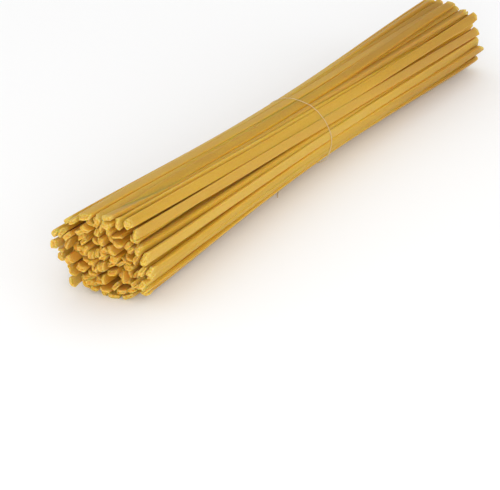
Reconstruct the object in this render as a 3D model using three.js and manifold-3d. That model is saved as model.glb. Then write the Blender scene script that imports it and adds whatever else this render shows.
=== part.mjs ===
// A bundle of dry linguine lying on its side, held at its waist by a knotted thread.
//
// Millimetres, +Z up. The bundle lies along X on the plane z = 0, with its wide end at -X, and the
// origin is at the bottom centre of its box. The strands are flat ovals of one cut length. They are
// settled against each other, the tie and the table by pushing overlapping strands apart, and the
// solid is then their outline: the strands of the outer layer at full length, the inner ones where
// they show at the two ends, and a core that fills what the outer layer hides.

import * as THREE from 'three';
import { mergeVertices } from 'three/addons/utils/BufferGeometryUtils.js';
import Module from 'manifold-3d';

const wasm = await Module();
wasm.setup();

// Strands
const STRAND_COUNT = 98;
const STRAND_LENGTH = 255;
const STRAND_WIDTH = 4.1;
const STRAND_THICKNESS = 1.92;
const FLAT_SHARE = 0.72; // share of the width that is flat, between the rounded edges
const STAGGER = 2.6; // how far an outer strand may lie along the bundle from its place
const INNER_STAGGER = 1.2; // the same of an inner one
const SKEW = 5.8; // how much further towards the wide end the strands of one side lie than the middle's
const SKEW_DIRECTION = 0.7; // of that side from the axis, in radians from +Y towards +Z
const TIE_OFFSET = 5.6; // of the waist from the strands' middle, towards the slim end

// Bundle: radius at its waist and at its two ends, and how quickly it opens between them
const WAIST_RADIUS = 15.8;
const WIDE_END_RADIUS = 21.8;
const SLIM_END_RADIUS = 19;
const FLARE_POWER = 1.4;
const TWIST = 0.17; // turn of each end about the axis, against the waist, in radians
const END_SPREAD = 2.6; // how far the end of a strand may wander from its place in the bundle
const GATHERING = 0.05; // how much closer to the axis the inner strands stay where the bundle opens
const INNER_SHARE = 0.5; // share of the strands, from the axis out, that may be turned any way round
const OUTER_TURN = 0.35; // turn of the outer strands from lying flat in the outline, in radians

// Resting on the table: height of the axis at the two ends, where the lowest strands are pressed
// level, and the depth of the flats where they touch
const WIDE_END_HEIGHT = 19.7;
const SLIM_END_HEIGHT = 17.5;
const REST_DEPTH = 0.22;

// Settling
const STATIONS = 5;
const MIDDLE_STATION = (STATIONS - 1) / 2;
const SETTLING_STEPS = 400;
const PULLED_STEPS = 200; // the first steps, in which a strand's ends are drawn to their first places
const PUSH = 0.35;
const TURN = 0.4;
const STIFFNESS = 0.12;
const END_PULL = 0.02;
const DISCS_PER_STRAND = 3; // across its width, each as wide as the strand is thick
const GOLDEN_ANGLE = Math.PI * (3 - Math.sqrt(5));

// Solid
const OUTER_LAYER = 1.6; // strands whose middle lies within this depth of the outline are outer ones
const STUB_LENGTH = 30; // how far an inner strand is followed inwards from its end
const CORE_DEPTH = 1.4; // of the core's surface under the bundle's outline
const CORE_END_DEPTH = 16; // of the core's ends behind the ends of the strands
const CORE_SIDES = 16;
const SMALLEST_DETAIL = 0.1;
const WELD_DISTANCE = 1e-4;

// Tie
const THREAD_DIAMETER = 0.36;
const THREAD_SIDES = 5;
const THREAD_GAP = 0.34; // between the thread and the strands
const LOOP_STEPS = 30;
const LOOP_PLACE = -1; // along X, at the axis
const LOOP_LEAN_UP = -0.11; // how far the loop's plane leans along X, for each millimetre of height
const LOOP_LEAN_ACROSS = -0.158; // and for each millimetre across the bundle
const SLACK = 0.8; // how far the loop stands off where it is slack
const SLACK_ANGLE = 3.95; // the middle of that place, in radians from +Y towards +Z
const SLACK_SPREAD = 0.35; // and how far to each side of it the slack dies away, in radians
const TANGENT_LINES = 180; // lines that the loop is drawn tight against
const TANGENT_REACH = 0.5; // least cosine between a direction and the lines that matter to it
const KNOT_DIAMETER = 1.3;
const KNOT_SIDES = 8;
const KNOT_RINGS = 5;
const KNOT_ANGLE = -1.6; // where the knot sits on the loop, in radians from +Y towards +Z
const KNOT_GRIP = 0.02; // of the loop on each side of the knot's middle, in radians
const TAIL_LENGTH = 29.5;
const TAIL_FIRST_HEADING = -0.1; // of the tail as it leaves the knot, in radians from -X towards -Y
const TAIL_LAST_HEADING = 0.63;
const SHORT_TAIL_LENGTH = 8;
const SHORT_TAIL_HEADING = 2.7;
const TAIL_POINTS = 8;
const DROP_SHARE = 0.22; // of the tail's length, over which it comes down onto the table
const TABLE_GAP = 0.05; // between the tail and the table

// Series of the repeatable numbers, one for each purpose
const WIDE_END_SERIES = 186; // across, and the next one up
const SLIM_END_SERIES = 215;
const TURN_SERIES = 295;
const SHIFT_SERIES = 205;

const pastaMaterial = new THREE.MeshStandardMaterial({ color: 0xd2a549, roughness: 0.55, metalness: 0 });
const threadMaterial = new THREE.MeshStandardMaterial({ color: 0xe6d3a8, roughness: 0.8, metalness: 0 });

// A repeatable number between -1 and 1 for strand i, one series for each purpose.
function jitter(i, series) {
  const wave = Math.sin(12.9898 * (i + 1) + 78.233 * series) * 43758.5453;
  return 2 * (wave - Math.floor(wave)) - 1;
}

// Share of the way from the waist to an end, from 0 to 1.
function shareOut(x) {
  return Math.min(1, Math.abs(x) / (STRAND_LENGTH / 2));
}

// The radius of the bundle at x.
function bundleRadius(x) {
  const endRadius = x < 0 ? WIDE_END_RADIUS : SLIM_END_RADIUS;
  return WAIST_RADIUS + (endRadius - WAIST_RADIUS) * shareOut(x) ** FLARE_POWER;
}

// The height of the bundle's axis at x above the table that it is pressed against.
function axisHeight(x) {
  return SLIM_END_HEIGHT + (WIDE_END_HEIGHT - SLIM_END_HEIGHT) * (0.5 - x / STRAND_LENGTH);
}

// Places every strand. Each one is a line of points, one to a station along the bundle, and an angle
// that it is turned to about its length. It starts on a sunflower spiral, and is then pushed off its
// neighbours, the outline of the bundle and the table, and straightened, step by step.
function settleStrands() {
  const stations = Array.from(
    { length: STATIONS },
    (_, s) => ((s - MIDDLE_STATION) / MIDDLE_STATION) * (STRAND_LENGTH / 2),
  );
  const discRadius = STRAND_THICKNESS / 2;
  const discReach = (STRAND_WIDTH - STRAND_THICKNESS) / 2;
  const discOffsets = [-discReach, 0, discReach];
  const turningArm = discReach * discReach * 2;

  const strands = Array.from({ length: STRAND_COUNT }, (_, i) => {
    const share = (i + 0.5) / STRAND_COUNT;
    const direction = i * GOLDEN_ANGLE;
    const turnRange = share < INNER_SHARE ? Math.PI / 2 : OUTER_TURN;
    const stagger = share < INNER_SHARE ? INNER_STAGGER : STAGGER;
    const leaning = SKEW * Math.sqrt(share) * Math.cos(direction - SKEW_DIRECTION);
    const places = stations.map((x) => {
      const radius = share ** (0.5 + GATHERING * shareOut(x)) * (bundleRadius(x) - discRadius);
      const turned = direction + TWIST * Math.sign(x) * shareOut(x);
      const wander = END_SPREAD * shareOut(x);
      const series = x < 0 ? WIDE_END_SERIES : SLIM_END_SERIES;
      return {
        y: radius * Math.cos(turned) + wander * jitter(i, series),
        z: radius * Math.sin(turned) + wander * jitter(i, series + 1),
      };
    });
    return {
      places,
      ends: [{ ...places[0] }, { ...places[STATIONS - 1] }],
      angle: direction + Math.PI / 2 + turnRange * jitter(i, TURN_SERIES),
      shift: stagger * jitter(i, SHIFT_SERIES) - leaning - TIE_OFFSET,
    };
  });

  const count = STRAND_COUNT * DISCS_PER_STRAND;
  const discY = new Float64Array(count);
  const discZ = new Float64Array(count);
  const pushY = new Float64Array(count);
  const pushZ = new Float64Array(count);

  for (let step = 0; step < SETTLING_STEPS; step++) {
    const turns = new Float64Array(STRAND_COUNT);
    const pull = END_PULL * Math.max(0, 1 - step / PULLED_STEPS);
    stations.forEach((x, s) => {
      strands.forEach(({ places, angle }, i) => {
        discOffsets.forEach((offset, d) => {
          discY[i * DISCS_PER_STRAND + d] = places[s].y + offset * Math.cos(angle);
          discZ[i * DISCS_PER_STRAND + d] = places[s].z + offset * Math.sin(angle);
        });
      });
      pushDiscsApart(discY, discZ, pushY, pushZ, discRadius);
      holdDiscsIn(discY, discZ, pushY, pushZ, bundleRadius(x) - discRadius, discRadius - axisHeight(x));
      strands.forEach(({ places, angle }, i) => {
        discOffsets.forEach((offset, d) => {
          const k = i * DISCS_PER_STRAND + d;
          places[s].y += PUSH * pushY[k];
          places[s].z += PUSH * pushZ[k];
          turns[i] += offset * (Math.cos(angle) * pushZ[k] - Math.sin(angle) * pushY[k]);
        });
      });
    });
    strands.forEach((strand, i) => {
      strand.angle += (TURN * turns[i]) / turningArm / STATIONS;
      straighten(strand.places);
      pullTowards(strand.places[0], strand.ends[0], pull);
      pullTowards(strand.places[STATIONS - 1], strand.ends[1], pull);
    });
  }
  return { stations, strands };
}

// Gives each disc a push of half its overlap with every disc of another strand.
function pushDiscsApart(discY, discZ, pushY, pushZ, discRadius) {
  const reach = 2 * discRadius;
  pushY.fill(0);
  pushZ.fill(0);
  for (let a = 0; a < discY.length; a++) {
    const nextStrand = (Math.floor(a / DISCS_PER_STRAND) + 1) * DISCS_PER_STRAND;
    for (let b = nextStrand; b < discY.length; b++) {
      const dy = discY[a] - discY[b];
      const dz = discZ[a] - discZ[b];
      const distance = Math.hypot(dy, dz);
      if (distance >= reach || distance === 0) continue;
      const share = (0.5 * (reach - distance)) / distance;
      pushY[a] += share * dy;
      pushZ[a] += share * dz;
      pushY[b] -= share * dy;
      pushZ[b] -= share * dz;
    }
  }
}

// Adds the pushes that bring discs back inside the outline, and up onto the table.
function holdDiscsIn(discY, discZ, pushY, pushZ, outline, table) {
  for (let a = 0; a < discY.length; a++) {
    const distance = Math.hypot(discY[a], discZ[a]);
    if (distance > outline) {
      pushY[a] -= ((distance - outline) * discY[a]) / distance;
      pushZ[a] -= ((distance - outline) * discZ[a]) / distance;
    }
    pushZ[a] += Math.max(0, table - discZ[a]);
  }
}

// Moves each inner point of a strand part of the way to the middle of its two neighbours.
function straighten(places) {
  const before = places.map((place) => ({ ...place }));
  for (let s = 1; s < places.length - 1; s++) {
    places[s].y += STIFFNESS * ((before[s - 1].y + before[s + 1].y) / 2 - before[s].y);
    places[s].z += STIFFNESS * ((before[s - 1].z + before[s + 1].z) / 2 - before[s].z);
  }
}

// Moves the end of a strand a share of the way back to its first place.
function pullTowards(place, target, pull) {
  place.y += pull * (target.y - place.y);
  place.z += pull * (target.z - place.z);
}

// The line of one strand between two values of x, above the table. It carries a section whose first
// axis stays at the strand's own angle.
class StrandPath extends THREE.Curve {
  constructor(strand, stations, startX, endX) {
    super();
    this.strand = strand;
    this.stations = stations;
    this.startX = startX;
    this.endX = endX;
  }

  getPoint(t, target = new THREE.Vector3()) {
    const x = this.startX + (this.endX - this.startX) * t;
    const spacing = this.stations[1] - this.stations[0];
    const along = (x - this.strand.shift - this.stations[0]) / spacing;
    const s = Math.min(STATIONS - 2, Math.max(0, Math.floor(along)));
    const from = this.strand.places[s];
    const to = this.strand.places[s + 1];
    return target.set(
      x,
      from.y + (to.y - from.y) * (along - s),
      from.z + (to.z - from.z) * (along - s) + axisHeight(x) - REST_DEPTH,
    );
  }

  getSpacedPoints(divisions) {
    return this.getPoints(divisions);
  }

  computeFrenetFrames(segments) {
    const { angle } = this.strand;
    const repeat = (x, y, z) => Array.from({ length: segments + 1 }, () => new THREE.Vector3(x, y, z));
    return {
      tangents: repeat(1, 0, 0),
      normals: repeat(0, Math.cos(angle), Math.sin(angle)),
      binormals: repeat(0, -Math.sin(angle), Math.cos(angle)),
    };
  }
}

// The six corners of a strand's section: two flat faces and two pointed edges.
function strandCorners() {
  const flat = (STRAND_WIDTH * FLAT_SHARE) / 2;
  const half = STRAND_THICKNESS / 2;
  return [
    new THREE.Vector2(STRAND_WIDTH / 2, 0),
    new THREE.Vector2(flat, half),
    new THREE.Vector2(-flat, half),
    new THREE.Vector2(-STRAND_WIDTH / 2, 0),
    new THREE.Vector2(-flat, -half),
    new THREE.Vector2(flat, -half),
  ];
}

// A closed geometry as a solid that can be joined and cut.
function toSolid(geometry) {
  const bare = geometry.clone();
  bare.deleteAttribute('normal');
  bare.deleteAttribute('uv');
  const merged = mergeVertices(bare, WELD_DISTANCE);
  return new wasm.Manifold(new wasm.Mesh({
    numProp: 3,
    vertProperties: new Float32Array(merged.attributes.position.array),
    triVerts: new Uint32Array(merged.index.array),
  }));
}

// A solid as a geometry with flat faces.
function toGeometry(solid) {
  const mesh = solid.getMesh();
  const indexed = new THREE.BufferGeometry();
  indexed.setAttribute('position', new THREE.BufferAttribute(new Float32Array(mesh.vertProperties), 3));
  indexed.setIndex(new THREE.BufferAttribute(new Uint32Array(mesh.triVerts), 1));
  const geometry = indexed.toNonIndexed();
  geometry.computeVertexNormals();
  return geometry;
}

// A stretch of one strand, which follows its line in straight steps.
function strandPiece(strand, stations, startX, endX, steps) {
  const extrudePath = new StrandPath(strand, stations, startX, endX);
  const section = new THREE.Shape(strandCorners());
  return toSolid(new THREE.ExtrudeGeometry(section, { steps, extrudePath }));
}

// The filling behind the outer layer, a turned body along X.
function core(stations) {
  const startX = CORE_END_DEPTH - STRAND_LENGTH / 2 - TIE_OFFSET;
  const endX = STRAND_LENGTH / 2 - CORE_END_DEPTH - TIE_OFFSET;
  const side = [startX, ...stations.slice(1, -1), endX]
    .map((x) => new THREE.Vector2(bundleRadius(x) - CORE_DEPTH, x));
  const profile = [new THREE.Vector2(0, startX), ...side, new THREE.Vector2(0, endX)];
  const turned = new THREE.LatheGeometry(profile, CORE_SIDES);
  turned.rotateZ(-Math.PI / 2);
  turned.rotateY(Math.atan2(WIDE_END_HEIGHT - SLIM_END_HEIGHT, STRAND_LENGTH));
  turned.translate(0, 0, axisHeight(0) - REST_DEPTH);
  return toSolid(turned);
}

// Whether a strand lies in the outer layer at the waist.
function isOuter(strand) {
  const waist = strand.places[MIDDLE_STATION];
  return Math.hypot(waist.y, waist.z) > WAIST_RADIUS - OUTER_LAYER;
}

// The bundle's outline as one solid, cut flat where it meets the table. The joined pieces have a few
// small hollows between them, whose walls are shells of their own: the outermost shell leaves them full.
function bundleSolid({ stations, strands }) {
  const pieces = [core(stations)];
  for (const strand of strands) {
    const startX = strand.shift - STRAND_LENGTH / 2;
    const endX = strand.shift + STRAND_LENGTH / 2;
    if (isOuter(strand)) {
      pieces.push(strandPiece(strand, stations, startX, endX, STATIONS - 1));
    } else {
      pieces.push(strandPiece(strand, stations, startX, startX + STUB_LENGTH, 1));
      pieces.push(strandPiece(strand, stations, endX - STUB_LENGTH, endX, 1));
    }
  }
  const below = new THREE.BoxGeometry(2 * STRAND_LENGTH, 4 * WIDE_END_RADIUS, 2 * WIDE_END_RADIUS);
  below.translate(0, 0, -WIDE_END_RADIUS);
  const joined = wasm.Manifold.union(pieces).subtract(toSolid(below)).simplify(SMALLEST_DETAIL);
  const [outermost] = joined.decompose().sort((a, b) => b.volume() - a.volume());
  return outermost;
}

// The place along X of a point of the leaning loop.
function loopPlace(y, z) {
  return LOOP_PLACE + LOOP_LEAN_UP * z + LOOP_LEAN_ACROSS * y;
}

// The corners of every strand's section at the waist, across and above the bundle's axis there.
function waistCorners({ stations, strands }) {
  const section = strandCorners();
  return strands.flatMap((strand) => {
    const waist = strand.places[MIDDLE_STATION];
    const loopX = loopPlace(waist.y, waist.z);
    const middle = new StrandPath(strand, stations, loopX, loopX).getPoint(0);
    middle.z -= axisHeight(0) - REST_DEPTH;
    return section.map((corner) => corner.clone()
      .rotateAround(new THREE.Vector2(), strand.angle)
      .add(new THREE.Vector2(middle.y, middle.z)));
  });
}

// How far the tight loop lies from the axis in each direction. In one direction that is the least, over
// the lines that touch the strands, of a line's distance over the cosine of the angle to it.
function tightLoop(corners) {
  const lines = Array.from({ length: TANGENT_LINES }, (_, k) => {
    const angle = (2 * Math.PI * k) / TANGENT_LINES;
    const normal = new THREE.Vector2(Math.cos(angle), Math.sin(angle));
    return { angle, distance: Math.max(...corners.map((corner) => corner.dot(normal))) };
  });
  return (direction) => Math.min(...lines
    .filter(({ angle }) => Math.cos(direction - angle) > TANGENT_REACH)
    .map(({ angle, distance }) => distance / Math.cos(direction - angle)));
}

// How far the thread stands off the tight loop in a direction, because it is slack there.
function looseness(direction) {
  const turn = THREE.MathUtils.euclideanModulo(direction - SLACK_ANGLE + Math.PI, 2 * Math.PI) - Math.PI;
  return SLACK * Math.exp(-((turn / SLACK_SPREAD) ** 2));
}

// A point beside the strands in a direction from the axis, at a distance outside the tight loop.
function loopPoint(loop, direction, outside) {
  const radius = loop(direction) + looseness(direction) + outside;
  const y = radius * Math.cos(direction);
  const z = radius * Math.sin(direction);
  return new THREE.Vector3(loopPlace(y, z), y, z + axisHeight(0) - REST_DEPTH);
}

// A length of thread through the points.
function thread(points, steps) {
  const section = new THREE.Shape(Array.from({ length: THREAD_SIDES }, (_, k) => {
    const angle = (2 * Math.PI * k) / THREAD_SIDES;
    return new THREE.Vector2(Math.cos(angle), Math.sin(angle)).multiplyScalar(THREAD_DIAMETER / 2);
  }));
  const extrudePath = new THREE.CatmullRomCurve3(points);
  return toSolid(new THREE.ExtrudeGeometry(section, { steps, extrudePath }));
}

// The points of a tail that drops from the knot onto the table and then lies on it, as its heading
// turns from the first to the last.
function tailPoints(knot, length, firstHeading, lastHeading) {
  const tableZ = THREAD_DIAMETER / 2 + TABLE_GAP;
  const spacing = length / (TAIL_POINTS - 1);
  const points = [knot.clone()];
  for (let k = 1; k < TAIL_POINTS; k++) {
    const share = k / (TAIL_POINTS - 1);
    const heading = firstHeading + (lastHeading - firstHeading) * share;
    const next = points[k - 1].clone();
    next.x -= spacing * Math.cos(heading);
    next.y -= spacing * Math.sin(heading);
    next.z = tableZ + (knot.z - tableZ) * Math.max(0, 1 - share / DROP_SHARE);
    points.push(next);
  }
  return points;
}

// The tie: a loop that starts and ends in the knot, the knot, and its two tails.
function tieSolid(layout) {
  const loop = tightLoop(waistCorners(layout));
  const threadOutside = THREAD_GAP + THREAD_DIAMETER / 2;
  const knot = loopPoint(loop, KNOT_ANGLE, THREAD_GAP + KNOT_DIAMETER / 2);
  const loopPoints = Array.from({ length: LOOP_STEPS + 1 }, (_, k) => {
    const turn = KNOT_GRIP + ((2 * Math.PI - 2 * KNOT_GRIP) * k) / LOOP_STEPS;
    return loopPoint(loop, KNOT_ANGLE + turn, threadOutside);
  });
  const ball = new THREE.SphereGeometry(KNOT_DIAMETER / 2, KNOT_SIDES, KNOT_RINGS);
  ball.translate(knot.x, knot.y, knot.z);
  const longTail = tailPoints(knot, TAIL_LENGTH, TAIL_FIRST_HEADING, TAIL_LAST_HEADING);
  const shortTail = tailPoints(knot, SHORT_TAIL_LENGTH, SHORT_TAIL_HEADING, SHORT_TAIL_HEADING);
  return wasm.Manifold.union([
    toSolid(ball),
    thread(loopPoints, LOOP_STEPS),
    thread(longTail, TAIL_POINTS - 1),
    thread(shortTail, TAIL_POINTS - 1),
  ]);
}

function namedMesh(name, solid, material) {
  const mesh = new THREE.Mesh(toGeometry(solid), material);
  mesh.name = name;
  return mesh;
}

const layout = settleStrands();
const bundle = namedMesh('linguine_bundle', bundleSolid(layout), pastaMaterial);
const tie = namedMesh('tie_thread', tieSolid(layout), threadMaterial);

const model = new THREE.Group();
model.add(bundle, tie);
const middle = new THREE.Box3().setFromObject(bundle).getCenter(new THREE.Vector3());
model.position.set(-middle.x, -middle.y, 0);

export default model;
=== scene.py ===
"""A bundle of dry linguine, tied at its waist by a knotted thread, lying on a pale floor.

The strands are settled against each other, the tie and the table as real ones are, and each is then
a flat oval section carried along its own line, from one cut end to the other. Every size is in metres.
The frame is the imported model: +X along the strands to the slim end, +Z up, the table at z = 0.
"""

from __future__ import annotations

import logging
import math
from dataclasses import dataclass, field
from enum import Enum
from typing import Any

import bpy
import numpy as np
from mathutils import Matrix, Vector

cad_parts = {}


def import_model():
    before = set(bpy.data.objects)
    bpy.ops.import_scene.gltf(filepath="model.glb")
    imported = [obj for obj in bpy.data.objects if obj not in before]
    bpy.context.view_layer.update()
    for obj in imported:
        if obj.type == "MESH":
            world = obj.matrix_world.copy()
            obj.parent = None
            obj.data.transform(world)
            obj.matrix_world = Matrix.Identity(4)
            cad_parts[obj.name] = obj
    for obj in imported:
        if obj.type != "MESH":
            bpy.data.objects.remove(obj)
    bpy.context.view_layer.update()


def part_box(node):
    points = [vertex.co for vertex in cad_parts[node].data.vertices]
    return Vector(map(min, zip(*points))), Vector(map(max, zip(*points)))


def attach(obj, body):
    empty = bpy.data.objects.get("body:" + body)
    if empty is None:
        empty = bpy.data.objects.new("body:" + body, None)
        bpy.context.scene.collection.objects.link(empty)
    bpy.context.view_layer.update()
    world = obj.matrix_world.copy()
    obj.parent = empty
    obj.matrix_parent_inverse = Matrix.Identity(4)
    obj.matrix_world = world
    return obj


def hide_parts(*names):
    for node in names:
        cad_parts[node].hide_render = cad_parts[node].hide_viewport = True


LOG = logging.getLogger("linguine")
MM = 0.001
PHOTO_WIDTH = 500
PHOTO_HEIGHT = 490
SERIES_STEP = 12.9898
SERIES_START = 78.233
SERIES_SCALE = 43758.5453
TINY = 1e-9
Array = np.ndarray
Pair = tuple[float, float]
Colour = tuple[float, float, float]


class Draw(Enum):
    """What a series of repeatable numbers is drawn for."""

    WIDE_END_ACROSS = 186
    WIDE_END_UP = 187
    SLIM_END_ACROSS = 215
    SLIM_END_UP = 216
    TURN = 295
    SHIFT = 205
    WIDTH = 7
    THICKNESS = 8
    WARP = 9
    TONE = 10
    BOW = 11
    BOW_SIDE = 12
    FLOUR = 19
    WAVE = 20
    ROSY = 21


class Cut(Enum):
    """The two cut ends of a strand, by the sign of x that they lie at."""

    WIDE_END = -1
    SLIM_END = 1


class Trait(Enum):
    """What differs from one cut end to the next, by its place in the end's own series of numbers."""

    SLANT = 0
    BEVEL = 1
    PINCH = 2
    CORNERS = 3
    CROWN = 4
    ROUNDING = 5
    CHIP = 6
    CHIP_SIDE = 7
    LUMP_ACROSS = 8
    LUMP_THROUGH = 9


def series(count: int, number: int) -> Array:
    """Repeatable numbers between -1 and 1: twice the fraction, less one, of a large number's sine.

    Args:
        count: How many numbers.
        number: Which series they come from.

    Returns:
        The numbers.
    """
    wave = np.sin(SERIES_STEP * (np.arange(count) + 1) + SERIES_START * number) * SERIES_SCALE
    return 2 * (wave - np.floor(wave)) - 1


def jitter(count: int, draw: Draw) -> Array:
    """Repeatable numbers between -1 and 1, one for each strand, in the series of that purpose."""
    return series(count, draw.value)


def smooth_step(value: Array, low: float, high: float) -> Array:
    """Zero below low, one above high, and 3t^2 - 2t^3 of the share t of the way between."""
    share = np.clip((value - low) / (high - low), 0, 1)
    return share * share * (3 - 2 * share)


def superellipse(sides: int, squareness: float, start: float) -> tuple[Array, Array]:
    """A rounded box from -1 to 1: the cosine and the sine of an angle, to the power 2 / squareness.

    Args:
        sides: How many points.
        squareness: From 2, an ellipse, up to a box.
        start: Where the first point lies, in sides.

    Returns:
        The points' places across and through.
    """
    angle = 2 * np.pi * (np.arange(sides) + start) / sides
    power = 2 / squareness
    across = np.sign(np.cos(angle)) * np.abs(np.cos(angle)) ** power
    through = np.sign(np.sin(angle)) * np.abs(np.sin(angle)) ** power
    return across, through


# Shader maths


class Socket:
    """A value in a node tree that Python's operators work on: each adds a Math node."""

    def __init__(self, tree: NodeTree, socket: bpy.types.NodeSocket) -> None:
        """Wraps an output socket of a node in that tree."""
        self.tree = tree
        self.socket = socket

    def _math(self, operation: str, *values: Socket | float) -> Socket:
        """The result of a Math node with that operation on the values."""
        return self.tree.node("ShaderNodeMath", {"operation": operation}, *values)

    def __add__(self, other: Socket | float) -> Socket:
        """The sum."""
        return self._math("ADD", self, other)

    def __radd__(self, other: float) -> Socket:
        """The sum, from the right."""
        return self._math("ADD", other, self)

    def __sub__(self, other: Socket | float) -> Socket:
        """The difference."""
        return self._math("SUBTRACT", self, other)

    def __rsub__(self, other: float) -> Socket:
        """The difference, from the right."""
        return self._math("SUBTRACT", other, self)

    def __mul__(self, other: Socket | float) -> Socket:
        """The product."""
        return self._math("MULTIPLY", self, other)

    def __rmul__(self, other: float) -> Socket:
        """The product, from the right."""
        return self._math("MULTIPLY", other, self)

    def clamp(self) -> Socket:
        """The value held between 0 and 1."""
        return self._math("MINIMUM", self._math("MAXIMUM", self, 0.0), 1.0)

    def between(self, limits: Pair) -> Socket:
        """Smoothly from zero at the first limit to one at the second."""
        settings = {"interpolation_type": "SMOOTHSTEP"}
        return self.tree.node("ShaderNodeMapRange", settings, self, *limits, 0.0, 1.0)


class NodeTree:
    """Writes the nodes of one material."""

    def __init__(self, name: str) -> None:
        """Makes an empty material of that name."""
        self.material = bpy.data.materials.new(name)
        self.material.use_nodes = True
        self.tree = self.material.node_tree
        self.tree.nodes.clear()

    def raw(self, kind: str, settings: dict[str, Any], *values: Any) -> bpy.types.Node:
        """Adds a node.

        Args:
            kind: The node's type.
            settings: Its settings, which are set first.
            values: Values or links of its input sockets in order.

        Returns:
            The node.
        """
        node = self.tree.nodes.new(kind)
        for key, value in settings.items():
            setattr(node, key, value)
        for socket, value in zip([s for s in node.inputs if s.enabled], values):
            self.put(socket, value)
        return node

    def node(self, kind: str, settings: dict[str, Any], *values: Any) -> Socket:
        """Adds a node as raw does, and gives its first output that is in use."""
        node = self.raw(kind, settings, *values)
        return Socket(self, next(s for s in node.outputs if s.enabled))

    def put(self, socket: bpy.types.NodeSocket, value: Any) -> None:
        """Links a wrapped socket to an input, or sets the input's own value.

        Args:
            socket: The input.
            value: The wrapped socket or the value.
        """
        if isinstance(value, Socket):
            self.tree.links.new(value.socket, socket)
        elif isinstance(value, tuple) and socket.type == "RGBA":
            socket.default_value = (*value, 1.0)
        else:
            socket.default_value = value

    def named(self, kind: str, output: str, **inputs: Any) -> Socket:
        """Adds a node whose inputs are set by name.

        Args:
            kind: The node's type.
            output: Which output to give.
            inputs: Values or links of its inputs.

        Returns:
            The output.
        """
        node = self.raw(kind, {})
        for name, value in inputs.items():
            self.put(node.inputs[name], value)
        return Socket(self, node.outputs[output])

    def attribute(self, name: str) -> Socket:
        """A number that the mesh carries at each point."""
        node = self.raw("ShaderNodeAttribute", {"attribute_name": name})
        return Socket(self, node.outputs["Fac"])

    def place(self, scale: tuple[float, float, float] = (1.0, 1.0, 1.0)) -> Socket:
        """Object coordinates times a scale on each axis."""
        where = self.named("ShaderNodeTexCoord", "Object")
        return self.node("ShaderNodeVectorMath", {"operation": "MULTIPLY"}, where, scale)

    def strand_place(self, scale: Pair) -> Socket:
        """The mesh's own UV map, scaled across and along the strand."""
        where = Socket(self, self.raw("ShaderNodeUVMap", {"uv_map": "strand"}).outputs["UV"])
        return self.node("ShaderNodeVectorMath", {"operation": "MULTIPLY"}, where, (*scale, 1.0))

    def noise(self, where: Socket, scale: float, detail: float = 2.0, rough: float = 0.5) -> Socket:
        """Smooth noise, from 0 to 1 about 0.5."""
        kind, output = "ShaderNodeTexNoise", "Fac"
        return self.named(kind, output, Vector=where, Scale=scale, Detail=detail, Roughness=rough)

    def cells(self, where: Socket, scale: float) -> Socket:
        """The distance to the nearest of scattered points."""
        return self.named("ShaderNodeTexVoronoi", "Distance", Vector=where, Scale=scale)

    def mix(self, share: Socket | float, first: Any, second: Any) -> Socket:
        """A mix of two colours by a share from 0 to 1."""
        settings = {"data_type": "RGBA", "clamp_factor": True}
        return self.node("ShaderNodeMix", settings, share, first, second)

    def bump(self, height: Socket, distance: float, strength: float) -> Socket:
        """A normal that stands for relief of that height."""
        kind, output = "ShaderNodeBump", "Normal"
        return self.named(kind, output, Height=height, Distance=distance, Strength=strength)

    def surface(self, **inputs: Any) -> bpy.types.Material:
        """Finishes the material with the principled shader.

        Args:
            inputs: Values or links of its sockets, by name, with _ for each space.

        Returns:
            The material.
        """
        shader = self.raw("ShaderNodeBsdfPrincipled", {})
        for name, value in inputs.items():
            self.put(shader.inputs[name.replace("_", " ")], value)
        output = self.raw("ShaderNodeOutputMaterial", {})
        self.tree.links.new(shader.outputs[0], output.inputs["Surface"])
        return self.material


# Finishes


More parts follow.
